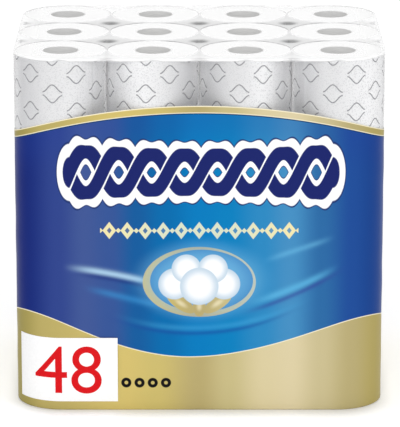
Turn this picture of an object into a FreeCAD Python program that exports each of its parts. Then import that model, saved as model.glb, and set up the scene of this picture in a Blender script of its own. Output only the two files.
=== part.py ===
import FreeCAD, Part
import math
import os
import Sketcher

# Film-wrapped bundle of bathroom rolls. The rolls stand on end in columns (X), rows (Y) and
# layers (Z), the front is -Y, and the origin is the middle of the underside.

# Driving dimensions, in millimetres and degrees
sizes = {
    "rollColumns": 4,
    "rollRows": 3,
    "rollLayers": 4,
    "rollDiameter": 101.6,
    "rollHeight": 98.0,
    "rollPress": 0.8,         # how deep the flat is where a roll is pressed against its neighbour
    "tailStep": 0.6,          # the step where the last sheet ends
    "tailAngle": 45.0,        # where that step lies on the first roll
    "coreBore": 37.4,
    "coreWall": 0.6,
    "coreClearance": 0.1,     # between the card core and the first turn of paper
    "rollClearance": 0.2,     # between the flats of two neighbours
    "layerClearance": 0.1,    # between the ends of stacked rolls
    "filmClearance": 0.3,     # between the outer rolls and the film
    "filmThickness": 0.3,
    "foldThickness": 0.3,     # one layer of the folded ends
    "foldTipWidth": 44.0,
    "foldLap": 30.0,          # how far the lower flap laps over the upper one
    "seamThickness": 0.3,     # the long seam across the back
    "seamHeight": 28.0,
    "seamBase": 64.0,
    "labelHeight": 72.6,
    "labelBase": 10.1,
    "labelFrontWidth": 61.0,  # on the flat front, from where the corner begins
    "labelWrapAngle": 62.0,   # how far it goes round the corner
    "labelThickness": 0.15,
    "labelClearance": 0.1,
}

document = FreeCAD.newDocument("RollPack")
sheet = document.addObject("Spreadsheet::Sheet", "Sizes")
for line, (name, value) in enumerate(sizes.items(), start=1):
    sheet.set(f"A{line}", name)
    sheet.set(f"B{line}", str(value))
    sheet.setAlias(f"B{line}", name)
document.recompute()

columns = int(sheet.get("rollColumns"))
rows = int(sheet.get("rollRows"))
layers = int(sheet.get("rollLayers"))

# Sizes that follow from the sheet, written as expressions
rollRadius = "(Sizes.rollDiameter / 2)"
pressedReach = f"({rollRadius} - Sizes.rollPress)"
freeReach = f"({rollRadius} + Sizes.filmClearance)"
rollPitch = f"(2 * {pressedReach} + Sizes.rollClearance)"
layerPitch = "(Sizes.rollHeight + Sizes.layerClearance)"
coreRadius = "(Sizes.coreBore / 2 + Sizes.coreWall)"
paperBoreRadius = f"({coreRadius} + Sizes.coreClearance)"
cornerX = f"((Sizes.rollColumns - 1) * {rollPitch} / 2)"
cornerY = f"((Sizes.rollRows - 1) * {rollPitch} / 2)"
cavityRadius = f"({rollRadius} + Sizes.filmClearance)"
filmRadius = f"({cavityRadius} + Sizes.filmThickness)"
cavityEdge = "(2 * Sizes.filmClearance)"
filmEdge = f"({cavityEdge} + Sizes.filmThickness)"
rollBase = "(Sizes.filmThickness + Sizes.filmClearance)"
cavityHeight = f"(Sizes.rollLayers * {layerPitch} - Sizes.layerClearance + 2 * Sizes.filmClearance)"
filmHeight = f"({cavityHeight} + 2 * Sizes.filmThickness)"
filmTop = f"({filmHeight} - Sizes.filmThickness)"
endFace = f"({cornerX} + {filmRadius})"

subParts = []


def bodyNamed(label):
    body = document.addObject("PartDesign::Body", label)
    body.Label = label
    subParts.append(body)
    return body


def originItem(body, role):
    return next(item for item in body.Origin.OriginFeatures if item.Role == role)


def sketchOn(body, planeRole, name, height="0"):
    """A sketch parallel to one of the body's origin planes, at the given height above it."""
    sketch = body.newObject("Sketcher::SketchObject", name)
    sketch.AttachmentSupport = [(originItem(body, planeRole), "")]
    sketch.MapMode = "FlatFace"
    sketch.setExpression("AttachmentOffset.Base.z", height)
    return sketch


def featureOn(body, kind, name, profile, length, away=False):
    feature = body.newObject(kind, name)
    feature.Profile = profile
    feature.Reversed = away
    feature.setExpression("Length", length)
    return feature


def number(expression):
    return float(sheet.evalExpression(expression))


# Sketch geometry is drawn at its size in the sheet, and then held there by expressions


def bind(sketch, expression, *constraint):
    value = number(expression)
    if constraint[0] == "Angle":
        value = math.radians(value)
    index = sketch.addConstraint(Sketcher.Constraint(*constraint, value))
    sketch.setExpression(f"Constraints[{index}]", expression)


def rule(sketch, *constraint):
    sketch.addConstraint(Sketcher.Constraint(*constraint))


def pin(sketch, geometry, point, x, y):
    bind(sketch, x, "DistanceX", -1, 1, geometry, point)
    bind(sketch, y, "DistanceY", -1, 1, geometry, point)


def drawArc(sketch, x, y, radius, start, end):
    centre = FreeCAD.Vector(number(x), number(y), 0)
    circle = Part.Circle(centre, FreeCAD.Vector(0, 0, 1), number(radius))
    arc = Part.ArcOfCircle(circle, math.radians(start), math.radians(end))
    return sketch.addGeometry(arc, False)


def heldArc(sketch, x, y, radius, start, end):
    arc = drawArc(sketch, x, y, radius, start, end)
    pin(sketch, arc, 3, x, y)
    bind(sketch, radius, "Radius", arc)
    return arc


def heldCircle(sketch, x, y, radius):
    centre = FreeCAD.Vector(number(x), number(y), 0)
    circle = sketch.addGeometry(Part.Circle(centre, FreeCAD.Vector(0, 0, 1), number(radius)), False)
    pin(sketch, circle, 3, x, y)
    bind(sketch, radius, "Radius", circle)


def drawLine(sketch, start, end):
    return sketch.addGeometry(Part.LineSegment(start, end), False)


def bridge(sketch, first, firstEnd, second, secondEnd, kind="Coincident"):
    """A line between the ends of two pieces of geometry."""
    line = drawLine(sketch, sketch.getPoint(first, firstEnd), sketch.getPoint(second, secondEnd))
    rule(sketch, kind, first, firstEnd, line, 1)
    rule(sketch, kind, line, 2, second, secondEnd)
    return line


def polygon(sketch, corners):
    """A closed outline through the corners, each a pair of expressions."""
    points = [FreeCAD.Vector(number(x), number(y), 0) for x, y in corners]
    lines = [drawLine(sketch, start, end) for start, end in zip(points, points[1:] + points[:1])]
    for line, following in zip(lines, lines[1:] + lines[:1]):
        rule(sketch, "Coincident", line, 2, following, 1)
    for line, (x, y) in zip(lines, corners):
        pin(sketch, line, 1, x, y)


# Paper rolls


def drawLastTurn(sketch):
    """Two half circles that grow by the thickness of the last sheet, and the step where it ends."""
    upper = drawArc(sketch, "0", "0", rollRadius, 0, 180)
    lower = drawArc(sketch, "-Sizes.tailStep / 2", "0", f"{rollRadius} - Sizes.tailStep / 2", 180, 360)
    rule(sketch, "Coincident", upper, 2, lower, 1)
    step = bridge(sketch, lower, 2, upper, 1)
    rule(sketch, "Coincident", upper, 3, -1, 1)
    for arc, point in ((upper, 1), (upper, 2), (lower, 3)):
        rule(sketch, "PointOnObject", arc, point, -1)
    rule(sketch, "Horizontal", step)
    bind(sketch, rollRadius, "Radius", upper)
    bind(sketch, "Sizes.tailStep", "Distance", step)


def spaceForRoll(name, row, column):
    """The room that the neighbours leave a roll: flat towards each of them, free elsewhere."""
    left = freeReach if column == 0 else pressedReach
    right = freeReach if column == columns - 1 else pressedReach
    front = freeReach if row == 0 else pressedReach
    back = freeReach if row == rows - 1 else pressedReach
    space = document.addObject("Part::Box", f"{name}_space")
    space.setExpression("Length", f"{left} + {right}")
    space.setExpression("Width", f"{front} + {back}")
    space.setExpression("Height", "Sizes.rollHeight")
    space.setExpression("Placement.Base.x", f"-{left}")
    space.setExpression("Placement.Base.y", f"-{front}")
    return space


def paperRoll(layer, row, column):
    name = f"roll_layer{layer + 1}_row{row + 1}_column{column + 1}"
    turn = document.addObject("Sketcher::SketchObject", f"{name}_turn")
    drawLastTurn(turn)
    heldCircle(turn, "0", "0", paperBoreRadius)
    quarterTurns = (column + 2 * row + layer) % 4
    turn.setExpression("Placement.Rotation.Angle", f"Sizes.tailAngle + {90 * quarterTurns}")
    wound = document.addObject("Part::Extrusion", f"{name}_wound")
    wound.Base = turn
    wound.DirMode = "Normal"
    wound.Solid = True
    wound.setExpression("LengthFwd", "Sizes.rollHeight")
    roll = document.addObject("Part::Common", name)
    roll.Label = name
    roll.Base = wound
    roll.Tool = spaceForRoll(name, row, column)
    roll.setExpression("Placement.Base.x", f"{column} * {rollPitch} - {cornerX}")
    roll.setExpression("Placement.Base.y", f"{row} * {rollPitch} - {cornerY}")
    roll.setExpression("Placement.Base.z", f"{rollBase} + {layer} * {layerPitch}")
    subParts.append(roll)


for layer in range(layers):
    for row in range(rows):
        for column in range(columns):
            paperRoll(layer, row, column)

# Card cores, one group of tubes for each layer


def coreLayer(layer):
    body = bodyNamed(f"cores_layer{layer + 1}")
    body.AllowCompound = True
    ring = sketchOn(body, "XY_Plane", "coreRing")
    heldCircle(ring, f"-{cornerX}", f"-{cornerY}", "Sizes.coreBore / 2")
    heldCircle(ring, f"-{cornerX}", f"-{cornerY}", coreRadius)
    tube = featureOn(body, "PartDesign::Pad", "coreTube", ring, "Sizes.rollHeight")
    grid = body.newObject("PartDesign::LinearPattern", "coreGrid")
    grid.Originals = [tube]
    grid.Direction = (originItem(body, "X_Axis"), [""])
    grid.Direction2 = (originItem(body, "Y_Axis"), [""])
    grid.setExpression("Length", f"2 * {cornerX}")
    grid.setExpression("Length2", f"2 * {cornerY}")
    grid.setExpression("Occurrences", "Sizes.rollColumns")
    grid.setExpression("Occurrences2", "Sizes.rollRows")
    body.Tip = grid
    body.setExpression("Placement.Base.z", f"{rollBase} + {layer} * {layerPitch}")


for layer in range(layers):
    coreLayer(layer)

# Printed film, sealed all round


def drawPlan(sketch, radius):
    """The bundle's outline from above: straight sides, and corners that follow the corner rolls."""
    sides = [(1, 1), (-1, 1), (-1, -1), (1, -1)]
    arcs = []
    for quarter, (sideX, sideY) in enumerate(sides):
        x = f"{sideX} * {cornerX}"
        y = f"{sideY} * {cornerY}"
        arcs.append(heldArc(sketch, x, y, radius, 90 * quarter, 90 * quarter + 90))
    for arc, following in zip(arcs, arcs[1:] + arcs[:1]):
        bridge(sketch, arc, 2, following, 1, "Tangent")


def roundLevelEdges(body, name, base, heights, radius):
    """Rounds the edges that lie flat at the given heights."""
    document.recompute()
    wanted = [number(height) for height in heights]
    tolerance = 0.001
    edges = []
    for count, edge in enumerate(base.Shape.Edges, start=1):
        box = edge.BoundBox
        isLevel = box.ZLength < tolerance
        if isLevel and any(abs(box.ZMin - height) < tolerance for height in wanted):
            edges.append(f"Edge{count}")
    rounding = body.newObject("PartDesign::Fillet", name)
    rounding.Base = (base, edges)
    rounding.setExpression("Radius", radius)


def drawFlap(sketch, edge, direction, tip):
    """An end flap from the level edge to its tip: as wide as the flat end at first, folded in
    at 45 degrees from the bundle's corners, then a narrow tongue. direction is 1 or -1 in Z."""
    tongueHalf = "(Sizes.foldTipWidth / 2)"
    shoulder = f"({edge} + {direction} * ({filmRadius} - {filmEdge}))"
    waist = f"({shoulder} + {direction} * ({cornerY} - {tongueHalf}))"
    right = [(cornerY, edge), (cornerY, shoulder), (tongueHalf, waist), (tongueHalf, tip)]
    left = [(f"-{y}", z) for y, z in reversed(right)]
    polygon(sketch, right + left)


def drawSeam(sketch):
    """A strip across the back and round both rear corners, half sunk in the film's own wall."""
    outer = f"({filmRadius} + Sizes.seamThickness)"
    inner = f"({filmRadius} - Sizes.filmThickness / 2)"
    outerRight = heldArc(sketch, cornerX, cornerY, outer, 0, 90)
    outerLeft = heldArc(sketch, f"-{cornerX}", cornerY, outer, 90, 180)
    innerLeft = heldArc(sketch, f"-{cornerX}", cornerY, inner, 90, 180)
    innerRight = heldArc(sketch, cornerX, cornerY, inner, 0, 90)
    bridge(sketch, outerRight, 2, outerLeft, 1, "Tangent")
    bridge(sketch, innerLeft, 1, innerRight, 2, "Tangent")
    for first, firstEnd, second in ((outerLeft, 2, innerLeft), (innerRight, 1, outerRight)):
        end = bridge(sketch, first, firstEnd, second, firstEnd)
        rule(sketch, "Horizontal", end)
        rule(sketch, "Horizontal", end, 1, first, 3)


def printedFilm():
    body = bodyNamed("film_wrap")
    outline = sketchOn(body, "XY_Plane", "filmOutline")
    drawPlan(outline, filmRadius)
    block = featureOn(body, "PartDesign::Pad", "filmBlock", outline, filmHeight)
    roundLevelEdges(body, "filmEdges", block, ["0", filmHeight], filmEdge)
    inside = sketchOn(body, "XY_Plane", "filmInside", "Sizes.filmThickness")
    drawPlan(inside, cavityRadius)
    cavity = featureOn(body, "PartDesign::Pocket", "filmCavity", inside, cavityHeight, away=True)
    roundLevelEdges(body, "cavityEdges", cavity, ["Sizes.filmThickness", filmTop], cavityEdge)

    # Both ends are folded like a parcel, and the lower flap is sealed over the upper one
    upperTip = f"({filmHeight} / 2 - Sizes.foldLap / 2)"
    upper = sketchOn(body, "YZ_Plane", "upperFlapOutline", endFace)
    drawFlap(upper, f"({filmHeight} - {filmEdge})", -1, upperTip)
    upperFlap = featureOn(body, "PartDesign::Pad", "upperFlap", upper, "Sizes.foldThickness")
    lowerTip = f"({filmHeight} / 2 + Sizes.foldLap / 2)"
    lower = sketchOn(body, "YZ_Plane", "lowerFlapOutline", endFace)
    drawFlap(lower, filmEdge, 1, lowerTip)
    lowerFlap = featureOn(body, "PartDesign::Pad", "lowerFlap", lower, "2 * Sizes.foldThickness")
    document.recompute()
    otherEnd = body.newObject("PartDesign::Mirrored", "otherEnd")
    otherEnd.Originals = [upperFlap, lowerFlap]
    otherEnd.MirrorPlane = (originItem(body, "YZ_Plane"), [""])
    body.Tip = otherEnd

    seam = sketchOn(body, "XY_Plane", "seamOutline", "Sizes.seamBase")
    drawSeam(seam)
    featureOn(body, "PartDesign::Pad", "backSeam", seam, "Sizes.seamHeight")


printedFilm()

# Paper label round the front left corner, over the film


def drawLabel(sketch):
    """A strip that follows the corner for the wrap angle and then lies on the flat front."""
    inner = f"({filmRadius} + Sizes.labelClearance)"
    outer = f"({inner} + Sizes.labelThickness)"
    wrapStart = 270 - number("Sizes.labelWrapAngle")
    outerArc = heldArc(sketch, f"-{cornerX}", f"-{cornerY}", outer, wrapStart, 270)
    innerArc = heldArc(sketch, f"-{cornerX}", f"-{cornerY}", inner, wrapStart, 270)
    along = FreeCAD.Vector(number("Sizes.labelFrontWidth"), 0, 0)
    flats = []
    for arc in (outerArc, innerArc):
        start = sketch.getPoint(arc, 2)
        flat = drawLine(sketch, start, start + along)
        rule(sketch, "Tangent", arc, 2, flat, 1)
        rule(sketch, "Horizontal", flat)
        bind(sketch, "Sizes.labelWrapAngle", "Angle", arc)
        flats.append(flat)
    rightEnd = bridge(sketch, flats[0], 2, flats[1], 2)
    rule(sketch, "Vertical", rightEnd)
    bridge(sketch, innerArc, 1, outerArc, 1)
    bind(sketch, "Sizes.labelFrontWidth", "DistanceX", flats[0], 1, flats[0], 2)


def countLabel():
    body = bodyNamed("count_label")
    outline = sketchOn(body, "XY_Plane", "labelOutline")
    drawLabel(outline)
    featureOn(body, "PartDesign::Pad", "labelSheet", outline, "Sizes.labelHeight")
    body.setExpression("Placement.Base.z", "Sizes.labelBase")


countLabel()

document.recompute()
for item in document.Objects:
    if "Invalid" in item.State or "Error" in item.State:
        raise RuntimeError(f"{item.Name} did not build: {item.State}")
for item in subParts:
    if item.Shape.isNull() or not item.Shape.isValid():
        raise RuntimeError(f"{item.Label} has no valid shape")

os.makedirs("parts", exist_ok=True)
for item in subParts:
    item.Shape.exportStep(f"parts/{item.Label}.step")
print(f"{len(subParts)} sub-parts written")
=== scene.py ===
import math

import bmesh
import bpy
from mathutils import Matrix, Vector


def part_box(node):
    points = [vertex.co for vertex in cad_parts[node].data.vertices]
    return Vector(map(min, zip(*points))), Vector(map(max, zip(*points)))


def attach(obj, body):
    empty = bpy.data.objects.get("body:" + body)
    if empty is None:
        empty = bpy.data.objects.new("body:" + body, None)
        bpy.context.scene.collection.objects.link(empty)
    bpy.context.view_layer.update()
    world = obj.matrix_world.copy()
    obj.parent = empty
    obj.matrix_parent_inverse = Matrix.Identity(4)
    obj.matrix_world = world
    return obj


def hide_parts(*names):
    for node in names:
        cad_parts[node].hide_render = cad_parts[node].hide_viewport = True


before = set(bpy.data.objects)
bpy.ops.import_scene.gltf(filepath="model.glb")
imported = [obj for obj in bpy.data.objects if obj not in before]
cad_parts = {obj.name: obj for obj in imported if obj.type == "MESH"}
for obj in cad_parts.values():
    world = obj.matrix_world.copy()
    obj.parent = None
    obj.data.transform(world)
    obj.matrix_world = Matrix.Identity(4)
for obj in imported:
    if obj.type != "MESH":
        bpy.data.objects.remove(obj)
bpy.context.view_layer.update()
mm = 0.001
tau = 2 * math.pi
print("frame loaded")

# The bundle's own measures, in millimetres, taken from the frame
rollCentres = []
for c in (2, 3):
    low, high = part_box(f"roll_layer4_row2_column{c}")
    rollCentres.append((low + high) / 2)
bundle = {
    "columns": 4,
    "rows": 3,
    "pitch": (rollCentres[1] - rollCentres[0]).x / mm,
    "height": (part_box("film_wrap")[1] / mm).z,
    "rollRadius": 50.8,
    "filmRadius": 51.4,  # round the corner rolls
    "rollTop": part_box("roll_layer4_row2_column2")[1].z / mm,
    "rollBottom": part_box("roll_layer4_row2_column2")[0].z / mm,
}
cornerX = (bundle["columns"] - 1) * bundle["pitch"] / 2  # the middle of a corner roll
cornerY = (bundle["rows"] - 1) * bundle["pitch"] / 2
flatX = cornerX + bundle["filmRadius"]  # the film's flat sides
flatY = cornerY + bundle["filmRadius"]


class Wire:  # a socket of a material, so that shader maths reads as plain sums
    def __init__(self, tree, socket=None):
        self.tree = tree
        self.socket = socket

    def node(self, kind, settings=None, inputs=None, output=0):
        made = self.tree.nodes.new(kind)
        for name, value in (settings or {}).items():
            if name == "stops":
                placeStops(made.color_ramp, value)
            else:
                setattr(made, name, value)
        for name, value in (inputs or {}).items():
            if isinstance(value, Wire):
                self.tree.links.new(value.socket, made.inputs[name])
            else:
                made.inputs[name].default_value = value
        return Wire(self.tree, made.outputs[output])

    def also(self, output):  # another output of the same node
        return Wire(self.tree, self.socket.node.outputs[output])

    def math(self, operation, *values):
        return self.node("ShaderNodeMath", {"operation": operation}, dict(enumerate(values)))

    def __add__(self, value):
        return self.math("ADD", self, value)

    def __sub__(self, value):
        return self.math("SUBTRACT", self, value)

    def __rsub__(self, value):
        return self.math("SUBTRACT", value, self)

    def __mul__(self, value):
        return self.math("MULTIPLY", self, value)

    def __truediv__(self, value):
        return self.math("DIVIDE", self, value)

    def __rtruediv__(self, value):
        return self.math("DIVIDE", value, self)

    def __gt__(self, value):
        return self.math("GREATER_THAN", self, value)

    def __lt__(self, value):
        return self.math("LESS_THAN", self, value)

    def __abs__(self):
        return self.math("ABSOLUTE", self)

    __radd__ = __add__
    __rmul__ = __mul__


def placeStops(ramp, stops):
    ramp.interpolation = "EASE"
    while len(ramp.elements) < len(stops):
        ramp.elements.new(0.5)
    for element, (place, colour) in zip(ramp.elements, stops):
        element.position = place
        element.color = colour


def ink(red, green, blue):  # a colour as it is seen, 0 to 255, as Blender's linear values
    def linear(value):
        value = value / 255
        return value / 12.92 if value <= 0.04045 else ((value + 0.055) / 1.055) ** 2.4
    return (linear(red), linear(green), linear(blue), 1.0)


def fade(wire, start, end):  # 0 at start, 1 at end
    span = {"Value": wire, "From Min": start, "From Max": end}
    return wire.node("ShaderNodeMapRange", {"interpolation_type": "SMOOTHSTEP"}, span)


def within(away, edge, soft=0.35):  # 1 where the distance is under the edge
    return fade(away, edge + soft, edge - soft)


def least(first, second):
    return first.math("MINIMUM", first, second)


def most(first, second):
    return first.math("MAXIMUM", first, second)


def held(wire, low, high):
    return least(most(wire, low), high)


def distance(across, up):
    return across.math("SQRT", across * across + up * up)


def softPeak(off):  # 1 in the middle, fading out on both sides
    return off.math("EXPONENT", off * off * -1.0)


def offWhole(place, step):  # how far a place is from the nearest whole number of steps
    return place - place.math("ROUND", place / step) * step


def offHalf(place, step):  # and from the nearest middle between two of them
    return place - (place.math("FLOOR", place / step) + 0.5) * step


def choose(mask, ifOne, ifZero):  # for numbers
    return ifZero + mask * (ifOne - ifZero)


def tint(mask, under, over):  # for colours
    return mask.node("ShaderNodeMix", {"data_type": "RGBA"}, {0: mask, 6: under, 7: over}, output=2)


def objectPlace(wire):
    return wire.node("ShaderNodeTexCoord", output="Object")


def places(wire):  # the surface's own X, Y and Z in millimetres
    split = wire.node("ShaderNodeSeparateXYZ", {}, {0: objectPlace(wire)})
    return [split.also(axis) / mm for axis in "XYZ"]


def mottle(wire, scale, detail=2.0, stretch=(1, 1, 1)):
    stretched = {"Vector": objectPlace(wire), "Scale": [share / mm for share in stretch]}
    spot = wire.node("ShaderNodeMapping", {}, stretched)
    return spot.node("ShaderNodeTexNoise", {}, {"Vector": spot, "Scale": scale, "Detail": detail})


def bumps(height, strength, depth):  # depth in metres
    return height.node("ShaderNodeBump", {}, {"Strength": strength, "Distance": depth, "Height": height})


def newMaterial(name):
    material = bpy.data.materials.new(name)
    material.use_nodes = True
    return material, Wire(material.node_tree)


def feed(material, values):  # sets or links the sockets of the material's own shader
    shader = material.node_tree.nodes["Principled BSDF"]
    for name, value in values.items():
        if isinstance(value, Wire):
            material.node_tree.links.new(value.socket, shader.inputs[name])
        else:
            shader.inputs[name].default_value = value


def dress(beginning, material):  # for the frame's own nodes whose names begin so
    for name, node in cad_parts.items():
        if name.startswith(beginning):
            node.data.materials.clear()
            node.data.materials.append(material)


def addObject(name, data):
    made = bpy.data.objects.new(name, data)
    bpy.context.collection.objects.link(made)
    return made


def makePiece(name, rows, faces, material):  # rows of points, in millimetres
    mesh = bpy.data.meshes.new(name)
    mesh.from_pydata([Vector(point) * mm for row in rows for point in row], [], faces)
    mesh.materials.append(material)
    for face in mesh.polygons:
        face.use_smooth = True
    piece = addObject(name, mesh)
    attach(piece, "root")
    return piece


def gridFaces(rows, columns, closed=False):
    across = columns if closed else columns - 1
    faces = []
    for row in range(rows - 1):
        low, high = row * columns, (row + 1) * columns
        for column in range(across):
            following = (column + 1) % columns
            faces.append((low + column, low + following, high + following, high + column))
    return faces


def roundedEdge(radius, steps):  # how far in and how far down, from the side to the flat
    bends = [step / steps * math.pi / 2 for step in range(steps + 1)]
    return [(radius * (1 - math.cos(bend)), radius * (1 - math.sin(bend))) for bend in bends]


# Paper
quilt = {
    "across": 12,         # columns of the pattern round a roll
    "pitch": 41.0,
    "turn": 0.777,        # share of one column by which the pattern is turned
    "raise": 0.33,        # share of one pitch by which it is raised
    "halfWidth": 10.9,
    "waist": 1.75,        # half of the opening at the sides of a lozenge
    "rise": 8.0,
    "lineWidth": 0.62,
    "groove": 0.35,       # how deep the line is pressed, and half its width in the mesh
    "grooveWidth": 1.1,
    "pillow": 0.25,       # how far the paper stands out inside a lozenge
    "mostPillow": 0.2,    # where it is cut off
}
tissue = {
    "end": ink(252, 252, 252),
    # painted shade: the sides are drawn greyer than the ends, for the less light they get
    "side": ink(221, 221, 222),
    "rim": (49.2, 49.7),            # radii between which the end's tone turns into the side's
    "flankShade": ink(210, 210, 212),    # painted shade: darker away from the middle of a side, towards its neighbours
    "flankShadeReach": (10, 36),
    "seamLight": ink(240, 240, 241),  # painted light: pale again where two rolls meet
    "seamLightReach": (40, 49),
    # the colour of the painted light on the sides
    "paintedLight": ink(249, 249, 250),
    # the pressed dots are drawn darker: painted shade in their dents, which also greys the sides
    "dots": ink(204, 204, 206),
    "dotScale": 480.0,
    "dotSize": 0.34,
    "dotStrength": 0.6,
    # the pressed line is drawn dark grey: painted shade in its groove
    "line": ink(132, 133, 137),
    "lineStrength": 0.9,
    "turns": ink(214, 214, 214),    # the turns of paper on a roll's end
    "turnRate": 5.2,
    "turnWaver": 5,
    "turnStrength": 0.10,
    "relief": {"fibre": 0.12, "line": 0.5, "dots": 0.12, "turns": 0.05},
}
paintedLightBands = {  # painted light: soft lighter stripes on the rolls' sides: place along X, width and strength
    "first": (-126.0, 30.0, 0.35),
    "second": (-64.0, 26.0, 0.65),
    "third": (70.0, 16.0, 0.70),
    "last": (190.0, 30.0, 0.95),
}


def paperMaterial():
    material, start = newMaterial("quiltedPaper")
    x, y, z = places(start)
    pitch = bundle["pitch"]
    column = held(start.math("FLOOR", x / pitch), -bundle["columns"] / 2, bundle["columns"] / 2 - 1)
    lastRow = (bundle["rows"] - 1) / 2
    row = held(start.math("FLOOR", y / pitch + 0.5), -lastRow, lastRow)
    nearX = x - (column + 0.5) * pitch
    nearY = y - row * pitch
    radius = distance(nearX, nearY)
    side = fade(radius, *tissue["rim"])

    # The quilted line, as grooveAt has it
    turn = start.math("ARCTAN2", nearY, nearX) / tau
    along = turn * quilt["across"] + quilt["turn"]
    strip = start.math("FLOOR", along)
    stripWidth = tau * bundle["rollRadius"] / quilt["across"]
    across = abs((along - strip - 0.5) * stripWidth)
    stagger = start.math("MODULO", abs(strip), 2.0) * 0.5
    up = z / quilt["pitch"] + stagger + quilt["raise"]
    height = abs((up - start.math("FLOOR", up) - 0.5) * quilt["pitch"])
    swing = across * (math.pi / quilt["halfWidth"])
    bell = quilt["waist"] + quilt["rise"] * 0.5 * (1 + start.math("COSINE", swing))
    steep = quilt["rise"] * 0.5 * math.pi / quilt["halfWidth"] * start.math("SINE", swing)
    offLine = abs(height - bell) / start.math("SQRT", 1 + steep * steep)
    line = within(offLine, quilt["lineWidth"], 0.3) * within(across, quilt["halfWidth"], 0.3) * side

    cells = {"Vector": objectPlace(start), "Scale": tissue["dotScale"]}
    dots = within(start.node("ShaderNodeTexVoronoi", {}, cells), tissue["dotSize"], 0.14) * side
    waver = mottle(start, 0.05) * tissue["turnWaver"]
    turns = start.math("SINE", radius * tissue["turnRate"] + waver) * (1 - side)
    fibre = mottle(start, 0.5, 3.0)

    # painted shade: the sides take a greyer tone than the ends
    colour = tint(side, tissue["end"], tissue["side"])
    # painted shade towards the neighbouring rolls
    colour = tint(side * fade(abs(nearX), *tissue["flankShadeReach"]), colour, tissue["flankShade"])
    # painted light where two rolls meet
    colour = tint(side * fade(abs(nearX), *tissue["seamLightReach"]), colour, tissue["seamLight"])
    # painted light: lighter stripes across the rolls' sides
    for place, width, strength in paintedLightBands.values():
        colour = tint(side * softPeak((x - place) / width) * strength, colour, tissue["paintedLight"])
    # painted shade in the pressed dots
    colour = tint(dots * tissue["dotStrength"], colour, tissue["dots"])
    # painted shade along the pressed line
    colour = tint(line * tissue["lineStrength"], colour, tissue["line"])
    colour = tint(fade(turns, 0.3, 1.0) * tissue["turnStrength"], colour, tissue["turns"])

    share = tissue["relief"]
    relief = fibre * share["fibre"] + turns * share["turns"] - line * share["line"] - dots * share["dots"]
    feed(material, {
        "Base Color": colour,
        "Roughness": 0.95,
        "Specular IOR Level": 0.15,
        "Normal": bumps(relief, 0.6, 0.0006),
    })
    return material


paper = paperMaterial()


def pressedOutline(column, row, spacing):
    # One roll's outline round its own centre: the last turn grows by one sheet, and a flat faces
    # each neighbour. Points lie close together only on the sides that the film shows.
    last = {"tailStep": 0.6, "pressed": 50.0, "unpressed": 1000}
    free = {
        "right": column == bundle["columns"] - 1,
        "back": row == bundle["rows"] - 1,
        "left": column == 0,
        "front": row == 0,
    }
    tail = ((column + 2 * row + 3) % 4 + 0.5) / 4  # a quarter further round from roll to roll
    reach = {side: last["unpressed"] if isFree else last["pressed"] for side, isFree in free.items()}
    points = []
    angle = 0.0
    while angle < tau - 0.5 * spacing["coarse"] / bundle["rollRadius"]:
        shown = any([
            free["right"] and math.cos(angle) > -0.1,
            free["back"] and math.sin(angle) > -0.1,
            free["left"] and math.cos(angle) < 0.1,
            free["front"] and math.sin(angle) < 0.1,
        ])
        radius = bundle["rollRadius"] - last["tailStep"] * (1 - (angle / tau - tail) % 1)
        x = max(-reach["left"], min(reach["right"], radius * math.cos(angle)))
        y = max(-reach["front"], min(reach["back"], radius * math.sin(angle)))
        points.append((x, y, angle, shown))
        angle += spacing["fine" if shown else "coarse"] / bundle["rollRadius"]
    return points


def grooveAt(angle, z):
    along = angle / tau * quilt["across"] + quilt["turn"]
    if angle > math.pi:
        along -= quilt["across"]
    strip = math.floor(along)
    across = abs((along - strip - 0.5) * tau * bundle["rollRadius"] / quilt["across"])
    if across > quilt["halfWidth"]:
        return 0.0
    up = z / quilt["pitch"] + abs(strip) % 2 * 0.5 + quilt["raise"]
    height = abs((up - math.floor(up) - 0.5) * quilt["pitch"])
    swing = math.pi * across / quilt["halfWidth"]
    bell = quilt["waist"] + quilt["rise"] * 0.5 * (1 + math.cos(swing))
    steep = quilt["rise"] * 0.5 * math.pi / quilt["halfWidth"] * math.sin(swing)
    off = (height - bell) / math.sqrt(1 + steep * steep)
    pillow = quilt["pillow"] * max(0.0, 1 - (height / bell) ** 2)
    groove = quilt["groove"] * math.exp(-(off / quilt["grooveWidth"]) ** 2)
    return min(pillow - groove, quilt["mostPillow"])


def movedIn(x, y, inset, z):  # towards the roll's own centre
    radius = math.hypot(x, y)
    return (x * (radius - inset) / radius, y * (radius - inset) / radius, z)


def weld(piece):
    shape = bmesh.new()
    shape.from_mesh(piece.data)
    bmesh.ops.remove_doubles(shape, verts=shape.verts, dist=0.00001)
    bmesh.ops.recalc_face_normals(shape, faces=shape.faces)
    shape.to_mesh(piece.data)
    shape.free()
    piece.data.set_sharp_from_angle(angle=math.radians(50))


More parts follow.
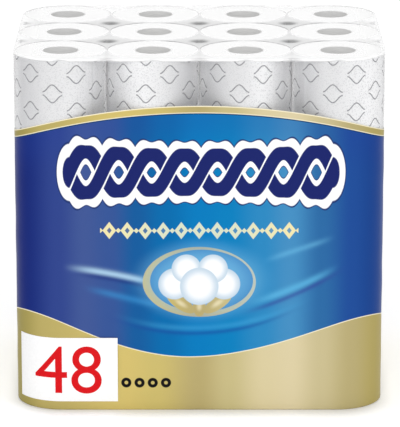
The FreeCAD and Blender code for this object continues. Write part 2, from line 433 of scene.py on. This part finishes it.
def topRoll(column, row):
    shape = {
        "fine": 1.25,     # between points, where the film shows the roll
        "coarse": 6.0,    # and elsewhere
        "shown": 88.0,    # height of the quilted part
        "rounding": 0.7,
        "roundSteps": 3,
        "bore": 19.4,
        "endRings": 10,
    }
    node = f"roll_layer4_row{row + 1}_column{column + 1}"
    outline = pressedOutline(column, row, shape)
    bottom, top, rounding = bundle["rollBottom"], bundle["rollTop"], shape["rounding"]
    levels = [bottom, top - shape["shown"]]
    while levels[-1] < top - rounding - shape["fine"]:
        levels.append(levels[-1] + shape["fine"])
    levels.append(top - rounding)
    rings = []
    for z in levels:
        ring = []
        for x, y, angle, shown in outline:
            swell = grooveAt(angle, z) if shown and levels[0] < z < levels[-1] else 0.0
            ring.append((x + swell * math.cos(angle), y + swell * math.sin(angle), z))
        rings.append(ring)
    for inset, drop in roundedEdge(rounding, shape["roundSteps"])[1:]:
        rings.append([movedIn(x, y, inset, top - drop) for x, y, angle, shown in outline])
    for step in range(1, shape["endRings"] + 1):
        share = step / shape["endRings"]
        ring = []
        for x, y, angle, shown in outline:
            width = math.hypot(x, y) - rounding - shape["bore"]
            ring.append(movedIn(x, y, rounding + width * share, top))
        rings.append(ring)
    rings.append([(x, y, bottom) for x, y, z in rings[-1]])
    rings.append(rings[0])
    centreX = (column - (bundle["columns"] - 1) / 2) * bundle["pitch"]
    centreY = (row - (bundle["rows"] - 1) / 2) * bundle["pitch"]
    placed = [[(x + centreX, y + centreY, z) for x, y, z in ring] for ring in rings]
    faces = gridFaces(len(rings), len(outline), closed=True)
    piece = makePiece(f"paperRoll_{row + 1}_{column + 1}", placed, faces, paper)
    weld(piece)
    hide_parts(node)


for row in range(bundle["rows"]):
    for column in range(bundle["columns"]):
        topRoll(column, row)
dress("roll_", paper)
print("rolls made")

# Card cores
card = {
    "dark": ink(206, 205, 202),
    "light": ink(220, 219, 216),
    "layer": ink(186, 184, 180),
}


def cardMaterial():
    material, start = newMaterial("coreCard")
    fibre = mottle(start, 0.12, 4.0)
    layers = mottle(start, 0.03, 2.0, (1, 1, 6))
    colour = tint(fade(fibre, 0.3, 0.7), card["dark"], card["light"])
    feed(material, {
        "Base Color": tint(fade(layers, 0.45, 0.6) * 0.3, colour, card["layer"]),
        "Roughness": 0.9,
        "Specular IOR Level": 0.2,
        "Normal": bumps(fibre, 0.3, 0.0003),
    })
    return material


dress("cores_", cardMaterial())
print("cores finished")

# Film
cream = ink(247, 238, 205)
navy = ink(28, 38, 105)
white = ink(250, 251, 253)
paleBlue = ink(178, 214, 238)
printed = {
    "arcTop": 342.6,          # the arched stripe: its highest line on the front, and its bend
    "arcTilt": 0.002,
    "arcBend": 0.000695,
    "arcDrop": 0.20,          # how steeply it runs down round the corners
    "stripe": 7.2,
    "topLine": 1.1,           # fine lines along the stripe's upper and lower edges
    "footLine": 0.9,
    "shadowLine": 2.1,
    "shadow": ink(16, 62, 110),
    "hollow": 60.7,           # the lowest point of the line between blue and gold
    "hollowX": -12.0,
    "hollowDrop": 0.45,
    "hollowLine": 1.0,
    "leftRise": 77.0,
    "leftRun": 273.0,
    "rightRise": 67.4,
    "rightRun": 303.0,
    "deepBlue": ink(30, 60, 150),  # just under the stripe
    "deepReach": (60, 10),
    "deepStrength": 0.25,
}
shine = {  # how much of the clear film's white shows, 0 to 1: a faint milkiness, raised as painted sheen where the film would catch light
    "side": 0.05,
    "seamLight": 0.20,        # painted highlight: more down the sides, where it hangs free between two rolls
    "seamLightWidth": 1.6,
    "end": 0.25,            # over a roll's end
    "endRadius": 49.5,
    "hole": 0.42,           # over its core
    "holeRadius": 20.0,
    "between": 0.80,        # from one roll to the next
    "gap": 0.30,            # in the middle between four rolls
    "gapRadius": 9.0,
    "edge": 0.15,           # painted highlight: more along the edges it is drawn over
    "edgeReach": (22, 4),
    "fold": 0.2,            # painted highlight: more along the folds
}
folds = {
    "tongue": 22.0,     # half the width of the flaps' tongues
    "lap": 30.0,        # how far the lower flap lies over the upper one
    "seamBase": 64.0,
    "seamTall": 28.0,
    "border": 0.02,     # how far they stand off the film at their borders and inside them
    "upperLift": 0.3,
    "lowerLift": 0.5,
    "seamLift": 0.28,
    "line": 0.7,        # how wide their edges show, and how pale: painted highlight along the folded edges
    "lineStrength": 0.30,
}
# the print's blue from left to right: a printed gradient, with its lighter parts near 0.2 and 0.7 painted
# in as highlights
blueStops = [
    (0.02, ink(12, 36, 118)),
    (0.12, ink(48, 68, 138)),
    (0.19, ink(64, 86, 147)),
    (0.26, ink(54, 84, 148)),
    (0.33, ink(20, 90, 154)),
    (0.41, ink(4, 106, 170)),
    (0.50, ink(3, 121, 186)),
    (0.58, ink(6, 125, 186)),
    (0.67, ink(44, 134, 189)),
    (0.745, ink(68, 140, 190)),
    (0.83, ink(44, 104, 161)),
    (0.91, ink(31, 76, 150)),
    (0.98, ink(20, 66, 142)),
]
# the print's gold from left to right: a printed gradient, with its pale parts near 0.3 and 0.7 painted in
# as the gold ink's sheen
goldStops = [
    (0.01, ink(162, 149, 80)),
    (0.08, ink(184, 168, 101)),
    (0.30, ink(209, 188, 111)),
    (0.38, ink(202, 184, 110)),
    (0.50, ink(182, 166, 112)),
    (0.58, ink(197, 184, 132)),
    (0.68, ink(215, 201, 158)),
    (0.75, ink(217, 203, 163)),
    (0.83, ink(199, 186, 142)),
    (0.91, ink(182, 168, 118)),
    (0.99, ink(180, 164, 96)),
]


def stroke(level, slope, bend, width, span, strength, colour):
    return {
        "level": level,
        "slope": slope,
        "bend": bend,
        "width": width,
        "span": span,          # where it begins and ends along X
        "strength": strength,
        "colour": colour,
    }


strokes = {
    "leftLight": stroke(132, -0.30, -0.0006, 3.6, (-150, -30), 0.80, paleBlue),
    "leftDark": stroke(126, -0.30, -0.0006, 2.6, (-145, -30), 0.60, ink(24, 44, 120)),
    "leftLower": stroke(110, -0.22, 0.0001, 4.0, (-130, -20), 0.45, ink(60, 150, 214)),
    "rightLight": stroke(112, 0.10, 0.0016, 4.2, (50, 155), 0.62, ink(96, 184, 226)),
    "rightDark": stroke(104, 0.08, 0.0018, 3.0, (40, 165), 0.55, ink(52, 56, 146)),
    "rightHigh": stroke(150, 0.26, 0.0004, 3.4, (66, 150), 0.40, ink(110, 190, 230)),
    "bowlDark": stroke(88, 0.03, 0.0021, 2.6, (-110, 120), 0.50, ink(24, 62, 150)),
    "bowlLight": stroke(94, 0.03, 0.0020, 3.4, (-100, 130), 0.30, ink(72, 172, 222)),
}


def ribbon(colour, x, z, mark):
    # A soft stroke along a bent line, strongest in the middle of its span
    off = (z - (mark["level"] + mark["slope"] * x + mark["bend"] * x * x)) / mark["width"]
    first, last = mark["span"]
    third = (last - first) / 3
    glow = softPeak(off) * fade(x, first, first + third) * fade(x, last, last - third)
    return tint(glow * mark["strength"], colour, mark["colour"])


def oval(x, z, centreX, centreZ, halfWidth, halfHeight, turned=0.0):
    # 0 at the middle of an oval and 1 on its edge
    cosine, sine = math.cos(math.radians(turned)), math.sin(math.radians(turned))
    away, up = x - centreX, z - centreZ
    return distance((away * cosine + up * sine) / halfWidth, (up * cosine - away * sine) / halfHeight)


def braid(colour, x, z):
    # Two strands that cross over and under each other, navy with a white edge
    strand = {
        "level": 269.0,
        "aside": 2.0,
        "swing": 19.0,
        "swell": 0.25,   # the strands swing wider towards both ends
        "wave": 71.0,
        "reach": 142.0,
        "half": 7.4,
        "edge": 6.2,
        "gap": 1.8,
        "outline": 1.1,
        "outlineInk": ink(30, 52, 110),
    }
    x = x - strand["aside"]
    near = held(x, -strand["reach"], strand["reach"])
    past = x - near
    swing = near * (tau / strand["wave"])
    tall = strand["swing"] * (1 + near * near * (strand["swell"] / strand["reach"] ** 2))
    rise = tall * x.math("SINE", swing)
    slope = tall * (tau / strand["wave"]) * x.math("COSINE", swing)
    lean = x.math("SQRT", 1 + slope * slope)
    offs = [distance((z - strand["level"] - rise * side) / lean, past) for side in (1, -1)]
    first = slope > 0.0
    over = choose(first, offs[0], offs[1])
    under = choose(first, offs[1], offs[0])
    nearest = least(offs[0], offs[1])
    edge = strand["half"] + strand["edge"]
    colour = tint(within(nearest, edge + strand["outline"]), colour, strand["outlineInk"])
    colour = tint(within(nearest, edge), colour, white)
    colour = tint(within(under, strand["half"]), colour, navy)
    colour = tint(within(over, strand["half"] + strand["gap"]), colour, white)
    return tint(within(over, strand["half"]), colour, navy)


def lozengeRow(colour, x, z):
    row = {
        "level": 204.0,
        "step": 19.5,
        "reach": 107.4,
        "tall": 9.6,
        "wide": 7.4,
        "small": 2.9,      # the dots between them
        "opening": 0.36,
        "middle": ink(214, 222, 196),
        "ends": ink(238, 226, 172),
    }
    cell = abs(offWhole(x, row["step"]))
    up = abs(z - row["level"])
    large = cell / row["wide"] + up / row["tall"]
    small = (row["step"] / 2 - cell + up) / row["small"]
    hollowed = within(large, 1.0, 0.06) - within(large, row["opening"], 0.06) * 0.9
    mask = most(hollowed, within(small, 1.0, 0.1)) * within(abs(x), row["reach"], 0.2)
    return tint(mask, colour, tint(fade(abs(x), 20, 110), row["middle"], row["ends"]))


def cottonMotif(colour, x, z, gold):
    # A gold ring with a boll of cotton in it: centres along X and Z, half widths, half heights
    boll = {
        "ring": (0, 146, 61.5, 39.5),
        "field": (2.5, 147.5, 56, 35),
        "fieldInk": ink(20, 104, 176),
        "glow": ink(120, 190, 228),
        "leaves": [(-20, 122, 7, 18, 55), (20, 122, 7, 18, -55), (0, 118, 7, 11, 0)],  # and turned
        "puffs": [(-27, 144, 17.5), (27, 144, 17.5), (-14, 161, 16.0), (15, 161, 16.0), (0, 141, 21.0)],
        "puffShade": ink(196, 214, 228),
    }
    field = oval(x, z, *boll["field"])
    colour = tint(within(oval(x, z, *boll["ring"]), 1.0, 0.008), colour, gold)
    colour = tint(within(field, 1.0, 0.008), colour, boll["fieldInk"])
    colour = tint(within(field, 1.0, 0.5) * 0.75, colour, boll["glow"])
    for leaf in boll["leaves"]:
        shape = oval(x, z, *leaf)
        colour = tint(within(shape, 1.0, 0.05), colour, gold)
        colour = tint(within(shape, 0.35, 0.3) * 0.5, colour, cream)
    for centreX, centreZ, size in boll["puffs"]:
        shape = oval(x, z, centreX, centreZ, size, size)
        shade = tint(fade(shape, 0.45, 1.02), white, boll["puffShade"])
        colour = tint(within(shape, 1.0, 0.03), colour, shade)
    return colour


def rollSigns(colour, x, y, z):
    # Small plain pictures of a roll's end, in a row beside the label
    signs = {
        "left": -80.0,
        "step": 14.5,
        "count": 4,
        "level": 31.4,
        "outer": 5.6,
        "bore": 2.0,
        "ink": ink(22, 20, 22),
    }
    last = signs["left"] + signs["step"] * (signs["count"] - 1)
    nearest = held(x.math("ROUND", (x - signs["left"]) / signs["step"]), 0.0, signs["count"] - 1)
    radius = distance(x - signs["left"] - nearest * signs["step"], z - signs["level"])
    ring = within(radius, signs["outer"]) * (1 - within(radius, signs["bore"]))
    return tint(ring * (y < 0.0) * within(x, last + 10), colour, signs["ink"])


def foldLines(x, y, z):
    # The edges of the folded ends and of the seam across the back, drawn pale as their painted highlight
    # and raised as creases in the bump
    line = folds["line"]
    onEnd = fade(flatX - abs(x), 2.4, 1.8)
    half = held(flatY - least(z, bundle["height"] - z), folds["tongue"], cornerY)
    sides = within(abs(abs(y) - half), line)
    tipZ = 0.5 * (bundle["height"] + folds["lap"])
    tip = within(abs(z - tipZ), line) * within(abs(y), folds["tongue"])
    seamZ = folds["seamBase"] + 0.5 * folds["seamTall"]
    seam = within(abs(abs(z - seamZ) - 0.5 * folds["seamTall"]), line)
    return most(onEnd * most(sides, tip), seam * fade(y, cornerY, cornerY + 1))


# Painted sheen of the film over the top: whitest between the rolls and along the edges, clearer over the
# ends, the cores and the middle of the gaps
def topShine(x, y):
    pitch = bundle["pitch"]
    gap = within(distance(offWhole(x, pitch), offHalf(y, pitch)), shine["gapRadius"], 6.0)
    radius = distance(offHalf(x, pitch), offWhole(y, pitch))
    between = choose(gap, shine["gap"], shine["between"])
    onEnd = choose(within(radius, shine["endRadius"], 1.0), shine["end"], between)
    onHole = choose(within(radius, shine["holeRadius"], 1.5), shine["hole"], onEnd)
    inward = least(flatX - abs(x), flatY - abs(y))
    return onHole + fade(inward, *shine["edgeReach"]) * shine["edge"]


# Painted highlight of the film down the sides: a faint white, more at each seam between two rolls
def sideShine(x):
    seamLight = within(abs(offWhole(x, bundle["pitch"])), shine["seamLightWidth"], 1.2)
    return shine["side"] + seamLight * shine["seamLight"]


def filmMaterial():
    material, start = newMaterial("printedFilm")
    x, y, z = places(start)
    share = x / (2 * flatX) + 0.5
    # the print's two ramps, painted highlights included
    blue = start.node("ShaderNodeValToRGB", {"stops": blueStops}, {0: share})
    gold = start.node("ShaderNodeValToRGB", {"stops": goldStops}, {0: share})

    # How far a place is below the arched stripe's upper line, and above the hollow
    turned = 0.5 * flatY - y * y / (2 * flatY)  # 0 at the front and back, most in the middle of the ends
    arc = printed["arcTop"] + printed["arcTilt"] * x - printed["arcBend"] * x * x
    below = arc - turned * printed["arcDrop"] - z
    aside = x - printed["hollowX"]
    right = aside > 0.0
    rise = choose(right, printed["rightRise"], printed["leftRise"])
    run = choose(right, printed["rightRun"], printed["leftRun"])
    hollow = printed["hollow"] + rise * 0.5 * (1 - start.math("COSINE", aside / run * math.pi))
    above = z - hollow + turned * printed["hollowDrop"]

    # The blue field and what lies on it
    colour = tint(fade(below, *printed["deepReach"]) * printed["deepStrength"], blue, printed["deepBlue"])
    for mark in strokes.values():
        colour = ribbon(colour, x, z, mark)
    colour = braid(colour, x, z)
    colour = lozengeRow(colour, x, z)
    colour = cottonMotif(colour, x, z, gold)

    # The gold field, the stripe and the fine lines along them
    edges = [
        (above, printed["hollowLine"], cream),
        (above, 0.0, gold),
        (below, printed["stripe"] + printed["shadowLine"], printed["shadow"]),
        (below, printed["stripe"] + printed["footLine"], cream),
        (below, printed["stripe"], gold),
        (below, printed["topLine"], cream),
    ]
    for away, edge, tone in edges:
        colour = tint(within(away, edge, 0.3), colour, tone)
    colour = rollSigns(colour, x, y, z)

    folded = foldLines(x, y, z)
    clear = within(below, 0.0, 0.25)
    # painted highlight along the fold edges
    colour = tint(folded * folds["lineStrength"], colour, white)
    colour = tint(clear, colour, ink(255, 255, 255))
    overTop = fade(z, bundle["height"] - 3.2, bundle["height"] - 1.0)
    # the clear film's white and how opaque it is drawn: painted sheen
    glint = choose(overTop, topShine(x, y), sideShine(x)) + folded * shine["fold"]
    creases = mottle(start, 0.012, 3.0, (1, 1, 2.5)) + mottle(start, 0.05, 2.0, (1, 1, 0.5)) * 0.25
    feed(material, {
        "Base Color": colour,
        "Roughness": 0.34,
        "Specular IOR Level": 0.05,
        "Alpha": choose(clear, glint, 1.0),
        "Normal": bumps(creases + folded * 0.4, 0.35, 0.002),
    })
    return material


film = filmMaterial()
wrap = {
    "edge": 1.4,         # where the film is drawn over the rolls' ends
    "edgeSteps": 3,
    "foot": 2.0,         # and where it turns under the lowest rolls
    "footSteps": 5,
    "footShares": [0.02, 0.35, 0.7, 0.95],  # of the outline, for the underside's rings
    "sag": 1.2,          # how far it sinks between two rolls
    "ripples": [(0.10, 1 / 11, 1 / 37, 0), (0.08, 1 / 7, -1 / 23, 1 / 19)],  # depth, rates along Z, X, Y
    "spacing": 5.0,
    "cornerSteps": 16,
    "topRings": 56,
    "holeDip": 1.3,
    "holeReach": 18.7,
    "gapDip": 1.8,
    "gapReach": 15,
}


def planOutline():
    # The plan's points with their outward directions, anticlockwise from the front right corner
    points = []
    radius = bundle["filmRadius"]
    corners = [(1, -1), (1, 1), (-1, 1), (-1, -1)]
    for quarter, (sideX, sideY) in enumerate(corners):
        for step in range(wrap["cornerSteps"] + 1):
            angle = (quarter - 1 + step / wrap["cornerSteps"]) * math.pi / 2
            outX, outY = math.cos(angle), math.sin(angle)
            points.append((sideX * cornerX + radius * outX, sideY * cornerY + radius * outY, outX, outY))
        nextX, nextY = corners[(quarter + 1) % 4]
        endX, endY = nextX * cornerX + radius * outX, nextY * cornerY + radius * outY
        lastX, lastY = points[-1][:2]
        steps = round(math.hypot(endX - lastX, endY - lastY) / wrap["spacing"])
        for step in range(1, steps):
            share = step / steps
            points.append((lastX + (endX - lastX) * share, lastY + (endY - lastY) * share, outX, outY))
    return points


def ease(value, start, end):
    share = max(0.0, min(1.0, (value - start) / (end - start)))
    return share * share * (3 - 2 * share)


def sagAt(x, y, outX, outY, z):
    # The film sinks a little between neighbours, and not at all at its edges and corners
    wave = 0.0
    if abs(outY) > 0.999:
        wave = 0.5 * (1 + math.cos(tau * x / bundle["pitch"]))
    elif abs(outX) > 0.999:
        wave = 0.5 * (1 - math.cos(tau * y / bundle["pitch"]))
    ripple = sum(size * math.sin(z * byZ + x * byX + y * byY) for size, byZ, byX, byY in wrap["ripples"])
    level = ease(z, 4, 40) * ease(bundle["height"] - z, 4, 40)
    return (wrap["sag"] * wave + ripple) * level


def dipAt(x, y):
    # Over the top the film sinks slightly at each core and between each four rolls
    pitch = bundle["pitch"]
    holeX = x - (math.floor(x / pitch) + 0.5) * pitch
    holeY = y - math.floor(y / pitch + 0.5) * pitch
    hole = max(0.0, 1 - (math.hypot(holeX, holeY) / wrap["holeReach"]) ** 2)
    gapX = x - math.floor(x / pitch + 0.5) * pitch
    gapY = y - (math.floor(y / pitch) + 0.5) * pitch
    gap = math.exp(-(math.hypot(gapX, gapY) / wrap["gapReach"]) ** 2)
    return wrap["holeDip"] * hole * hole + wrap["gapDip"] * gap


def ringAt(outline, z, inset):
    return [(x - outX * inset, y - outY * inset, z) for x, y, outX, outY in outline]


def wrapPiece():
    outline = planOutline()
    edge, foot, height = wrap["edge"], wrap["foot"], bundle["height"]
    rings = []
    for share in wrap["footShares"]:
        rings.append([(x * share, y * share, 0.0) for x, y, outX, outY in outline])
    for lift, inset in roundedEdge(foot, wrap["footSteps"]):
        rings.append(ringAt(outline, lift, inset))
    sideRows = round((height - edge - foot) / wrap["spacing"])
    for step in range(1, sideRows):
        z = foot + (height - edge - foot) * step / sideRows
        ring = []
        for x, y, outX, outY in outline:
            inset = sagAt(x, y, outX, outY, z)
            ring.append((x - outX * inset, y - outY * inset, z))
        rings.append(ring)
    for inset, drop in roundedEdge(edge, wrap["edgeSteps"]):
        rings.append(ringAt(outline, height - drop, inset))
    for step in range(1, wrap["topRings"]):
        share = 1 - step / wrap["topRings"]
        scaled = [(x * share, y * share) for x, y, outX, outY in outline]
        rings.append([(x, y, height - dipAt(x, y)) for x, y in scaled])
    around, total = len(outline), len(outline) * len(rings)
    faces = gridFaces(len(rings), around, closed=True)
    faces.append(tuple(reversed(range(around))))
    faces.append(tuple(range(total - around, total)))
    piece = makePiece("filmWrap", rings, faces, film)
    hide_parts("film_wrap")


wrapPiece()


def endFlap(side, direction, tip, lift, name):
    # One folded flap: full width at the bundle's edge, in at 45 degrees, then a tongue
    flap = {"rows": 48, "columns": 24, "clear": 0.4, "wave": 0.10, "waveTall": 13, "waveWide": 17}
    height = bundle["height"]
    start = wrap["foot"] + flap["clear"] if direction > 0 else height - wrap["edge"] - flap["clear"]
    rows = []
    for step in range(flap["rows"] + 1):
        z = start + (tip - start) * step / flap["rows"]
        fromEdge = z if direction > 0 else height - z
        half = max(folds["tongue"], min(cornerY, flatY - fromEdge))
        row = []
        for part in range(flap["columns"] + 1):
            y = half * (2 * part / flap["columns"] - 1)
            ripple = flap["wave"] * math.sin(z / flap["waveTall"] + y / flap["waveWide"])
            atBorder = part in (0, flap["columns"]) or step == flap["rows"]
            proud = folds["border"] if atBorder else lift + ripple
            row.append((side * (flatX - sagAt(0, y, 1, 0, z) + proud), y, z))
        rows.append(row)
    faces = gridFaces(len(rows), flap["columns"] + 1)
    if side * direction < 0:
        faces = [tuple(reversed(face)) for face in faces]
    makePiece(name, rows, faces, film)


for side, word in ((1, "right"), (-1, "left")):
    middle = bundle["height"] / 2
    endFlap(side, -1, middle - folds["lap"] / 2, folds["upperLift"], f"upperFlap_{word}")
    endFlap(side, 1, middle + folds["lap"] / 2, folds["lowerLift"], f"lowerFlap_{word}")


def backSeam():
    steps = 5
    outline = [point for point in planOutline() if point[1] >= cornerY - 0.01]
    rows = []
    for step in range(steps + 1):
        z = folds["seamBase"] + folds["seamTall"] * step / steps
        proud = folds["border"] if step in (0, steps) else folds["seamLift"]
        row = []
        for x, y, outX, outY in outline:
            out = proud - sagAt(x, y, outX, outY, z)
            row.append((x + outX * out, y + outY * out, z))
        rows.append(row)
    makePiece("backSeam", rows, gridFaces(len(rows), len(outline)), film)


backSeam()
print("film made")

# Label and its number
labelPaper = {
    "fibre": 0.4,
    "dark": ink(249, 249, 249),
    "light": ink(253, 253, 253),
    "roughness": 0.6,
    "specular": 0.3,
    "relief": 0.15,
}
redInk = {
    "fibre": 0.5,
    "dark": ink(212, 14, 22),
    "light": ink(220, 18, 26),
    "roughness": 0.5,
    "specular": 0.1,
    "relief": 0.1,
}


def fineFibre(name, look):
    material, start = newMaterial(name)
    fibre = mottle(start, look["fibre"], 3.0)
    feed(material, {
        "Base Color": tint(fade(fibre, 0.35, 0.7), look["dark"], look["light"]),
        "Roughness": look["roughness"],
        "Specular IOR Level": look["specular"],
        "Normal": bumps(fibre, look["relief"], 0.0002),
    })
    return material


dress("count_label", fineFibre("labelPaper", labelPaper))


def labelNumber():
    # Plain digits laid on the label, round the corner with it
    digits = {
        "text": "48",
        "left": -180.0,
        "right": -107.0,
        "foot": 19.0,
        "head": 73.0,
        "proud": 0.32,
        "cut": 2,        # between the cuts that let them bend
    }
    words = bpy.data.curves.new("labelNumber", "FONT")
    words.body = digits["text"]
    drawn = addObject("digitsDrawn", words)
    bpy.context.view_layer.update()
    shape = bmesh.new()
    mesh = bpy.data.meshes.new_from_object(drawn)
    shape.from_mesh(mesh)
    bpy.data.objects.remove(drawn)
    lowX, lowY = [min(vert.co[axis] for vert in shape.verts) for axis in (0, 1)]
    highX, highY = [max(vert.co[axis] for vert in shape.verts) for axis in (0, 1)]
    for vert in shape.verts:
        x = digits["left"] + (vert.co.x - lowX) / (highX - lowX) * (digits["right"] - digits["left"])
        z = digits["foot"] + (vert.co.y - lowY) / (highY - lowY) * (digits["head"] - digits["foot"])
        vert.co = (x, z, 0)
    for cut in range(int(digits["left"]), int(digits["right"]), digits["cut"]):
        everything = shape.verts[:] + shape.edges[:] + shape.faces[:]
        bmesh.ops.bisect_plane(shape, geom=everything, plane_co=(cut, 0, 0), plane_no=(1, 0, 0))
    radius = bundle["filmRadius"] + digits["proud"]
    for vert in shape.verts:
        x, z = vert.co.x, vert.co.y
        past = max(0.0, -cornerX - x)
        vert.co = Vector((x, -cornerY - math.sqrt(radius * radius - past * past), z)) * mm
    bmesh.ops.recalc_face_normals(shape, faces=shape.faces)
    shape.to_mesh(mesh)
    shape.free()
    mesh.materials.append(fineFibre("redInk", redInk))
    piece = addObject("labelNumber", mesh)
    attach(piece, "root")


labelNumber()
print("label made")

# Floor, light and camera
ground = {
    "reach": 20000,
    "dark": ink(253, 253, 253),
    "light": ink(255, 255, 255),
    "glow": 1.4,           # seen by the camera and in shiny surfaces alone
    "glowShare": 0.09,
}


def floorMaterial():
    material, start = newMaterial("paleFloor")
    colour = tint(mottle(start, 0.002), ground["dark"], ground["light"])
    feed(material, {"Base Color": colour, "Roughness": 1.0, "Specular IOR Level": 0.0})
    seen = start.node("ShaderNodeLightPath", output="Is Camera Ray")
    seen = most(seen, seen.also("Is Glossy Ray"))
    glow = start.node("ShaderNodeEmission", {}, {"Color": (1, 1, 1, 1), "Strength": ground["glow"]})
    shader = Wire(material.node_tree, material.node_tree.nodes["Principled BSDF"].outputs[0])
    both = start.node("ShaderNodeMixShader", {}, {0: seen * ground["glowShare"], 1: shader, 2: glow})
    material.node_tree.links.new(both.socket, material.node_tree.nodes["Material Output"].inputs[0])
    return material


floorMesh = bpy.data.meshes.new("floor")
reach = ground["reach"] * mm
floorCorners = [(-reach, -reach, 0), (reach, -reach, 0), (reach, reach, 0), (-reach, reach, 0)]
floorMesh.from_pydata(floorCorners, [], [(0, 1, 2, 3)])
floorMesh.materials.append(floorMaterial())
floor = addObject("floor", floorMesh)

studio = {
    "world": 0.465,
    # The overhead light comes a little from behind, so that the shadow falls to the front
    "overhead": {"strength": 1.37, "tilt": -2.4, "width": 4.5},
    "front": {"strength": 1.17, "tilt": 66.0, "width": 30.0},
}
world = bpy.data.worlds.new("studio")
bpy.context.scene.world = world
world.use_nodes = True
sky = Wire(world.node_tree)
seen = sky.node("ShaderNodeLightPath", output="Is Camera Ray")
seen = most(seen, seen.also("Is Transmission Ray"))
background = world.node_tree.nodes["Background"]
background.inputs["Color"].default_value = (1, 1, 1, 1)
strength = choose(seen, 1.0, studio["world"])
world.node_tree.links.new(strength.socket, background.inputs["Strength"])


def lamp(name, setting):
    light = bpy.data.lights.new(name, "SUN")
    light.energy = setting["strength"]
    light.angle = math.radians(setting["width"])
    addObject(name, light).rotation_euler = (math.radians(setting["tilt"]), 0, 0)


for name in ("overhead", "front"):
    lamp(name, studio[name])

view = {
    "distance": 3500,
    "height": 1103,
    "aside": 0.8,
    "down": 14.72,        # degrees
    "focus": 3201,        # of the lens, in pixels of the frame
    "framePixels": 427,   # on the frame's longer side
}
camera = addObject("camera", bpy.data.cameras.new("camera"))
camera.location = Vector((view["aside"], -view["distance"], view["height"])) * mm
camera.rotation_euler = (math.radians(90 - view["down"]), 0, 0)
camera.data.lens = view["focus"] / view["framePixels"] * camera.data.sensor_width
bpy.context.scene.camera = camera
bpy.context.scene.view_settings.view_transform = "Standard"
print("light and camera set")
